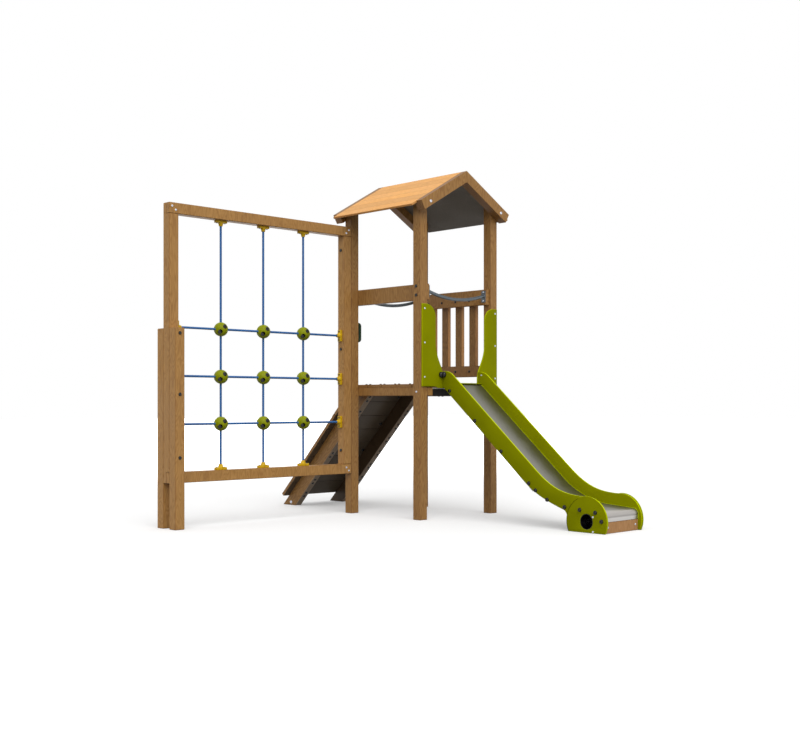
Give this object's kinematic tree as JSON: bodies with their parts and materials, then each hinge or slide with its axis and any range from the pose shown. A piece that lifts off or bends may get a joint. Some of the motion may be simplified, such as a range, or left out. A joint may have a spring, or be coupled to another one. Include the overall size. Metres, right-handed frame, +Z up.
{
  "type": "play tower",
  "caption": "Roofed timber play tower with a raised deck, a climbing ramp, a framed rope net and a steel slide with olive sides",
  "frame": {"origin": "middle of the front tower post's foot, on the ground", "axes": "+Z up, +X along the slide away from the tower, the rope net goes to -Y and the ramp to -X"},
  "size_m": [4.0064, 3.096, 3.1329],
  "materials": {
    "yellow_plastic": "moulded yellow plastic, rope end brackets",
    "timber": "oiled sawn timber, matte",
    "roof_timber": "light planed timber, matte",
    "end_timber": "planed timber, matte",
    "olive_panel": "through-coloured sheet, satin",
    "olive_ball": "moulded plastic, glossy",
    "blue_rope": "braided rope with yellow moulded end brackets",
    "grip_plastic": "moulded plastic, satin",
    "black_plastic": "moulded plastic, satin",
    "dark_steel": "black powder coat",
    "bar_steel": "galvanised tube, dulled",
    "stainless": "stainless sheet, fine grain"
  },
  "bodies": {
    "root": {"tower_post_front": "timber", "tower_post_left": "timber", "tower_post_right": "timber", "tower_post_rear": "timber", "platform_rim_front": "timber", "platform_rim_rear": "timber", "deck_planks": "timber", "upper_rail_front": "timber", "upper_rail_rear": "timber", "lower_rail_rear": "timber", "barrier_slat_1": "timber", "barrier_slat_2": "timber", "barrier_slat_3": "timber", "barrier_slat_4": "timber", "rafter_slide_side_front": "timber", "rafter_slide_side_rear": "timber", "rafter_ramp_side_front": "timber", "rafter_ramp_side_rear": "timber", "net_post_inner": "timber", "net_post_outer": "timber", "net_rail_top": "timber", "net_rail_bottom": "timber", "net_foot_post_slide_side": "timber", "net_foot_post_ramp_side": "timber", "ramp_stringer_front": "timber", "ramp_stringer_rear": "timber", "ramp_boards": "timber", "roof_boards_front": "roof_timber", "roof_boards_rear": "roof_timber", "slide_end_board": "end_timber", "slide_side_front": "olive_panel", "slide_side_rear": "olive_panel", "slide_foot_plate_front": "olive_panel", "slide_foot_plate_rear": "olive_panel", "slide_threshold": "olive_panel", "entry_panel_front": "olive_panel", "entry_panel_rear": "olive_panel", "rope_ball_1_1": "olive_ball", "rope_ball_1_2": "olive_ball", "rope_ball_1_3": "olive_ball", "rope_ball_2_1": "olive_ball", "rope_ball_2_2": "olive_ball", "rope_ball_2_3": "olive_ball", "rope_ball_3_1": "olive_ball", "rope_ball_3_2": "olive_ball", "rope_ball_3_3": "olive_ball", "rope_upright_1": "blue_rope", "rope_upright_2": "blue_rope", "rope_upright_3": "blue_rope", "rope_level_1": "blue_rope", "rope_level_2": "blue_rope", "rope_level_3": "blue_rope", "hand_grip_front": "grip_plastic", "hand_grip_rear": "grip_plastic", "entry_angle_front": "black_plastic", "entry_angle_rear": "black_plastic", "slide_hanger": "dark_steel", "safety_bar_slide_side": "bar_steel", "safety_bar_ramp_side": "bar_steel", "slide_chute": "stainless"}
  },
  "joints": []
}
